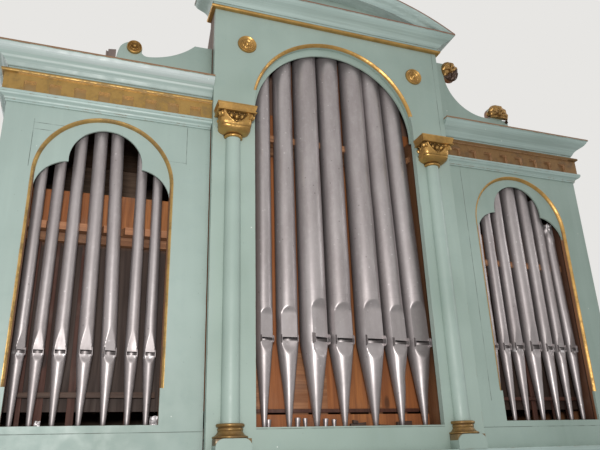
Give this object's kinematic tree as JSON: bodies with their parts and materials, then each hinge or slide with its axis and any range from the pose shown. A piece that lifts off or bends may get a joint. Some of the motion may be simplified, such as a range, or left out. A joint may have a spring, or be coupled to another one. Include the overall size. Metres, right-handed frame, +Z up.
{
  "type": "pipe organ",
  "caption": "Free-standing pipe organ: painted wooden case, taller arched centre tower, side bays, gilded mouldings and metal front pipes.",
  "frame": {"origin": "on the floor under the middle of the case, between its front and back faces", "axes": "+Z up, +Y from the front to the back wall, +X to the right of someone facing the front"},
  "size_m": [2.9, 1.135, 3.7953],
  "materials": {
    "paint": "old blue-green oil paint, matt",
    "gilding": "worn gold leaf on carved wood",
    "bare_wood": "bare aged pine",
    "dark_wood": "dark oiled oak",
    "pipe_metal": "tarnished tin and lead pipe metal with small dents"
  },
  "bodies": {
    "root": {"base_plinth": "paint", "lower_panel_left": "paint", "lower_panel_centre": "paint", "lower_panel_right": "paint", "impost_moulding": "paint", "facade_left": "paint", "facade_centre": "paint", "facade_right": "paint", "arch_moulding_left": "gilding", "arch_moulding_centre": "gilding", "arch_moulding_right": "gilding", "pipe_shade_left": "paint", "pipe_shade_right": "paint", "column_shaft_left": "paint", "column_shaft_right": "paint", "capital_left": "gilding", "capital_right": "gilding", "column_bases": "gilding", "pedestals": "paint", "rosettes": "gilding", "tower_cornice": "paint", "tower_bead": "gilding", "pediment_cornice": "paint", "tympanum": "paint", "side_cornice_left": "paint", "side_cornice_right": "paint", "dentil_band_left": "gilding", "dentil_band_right": "gilding", "architrave_left": "paint", "architrave_right": "paint", "scroll_left": "paint", "scroll_right": "paint", "tower_cheeks": "bare_wood", "tower_back": "bare_wood", "roof_sides": "bare_wood", "roof_centre": "bare_wood", "side_wall_left": "paint", "side_wall_right": "paint", "back_wall": "bare_wood", "pipes_left": "pipe_metal", "pipes_centre": "pipe_metal", "pipes_right": "pipe_metal", "rack_boards": "bare_wood", "windchest": "dark_wood", "backing_boards": "bare_wood"}
  },
  "joints": []
}
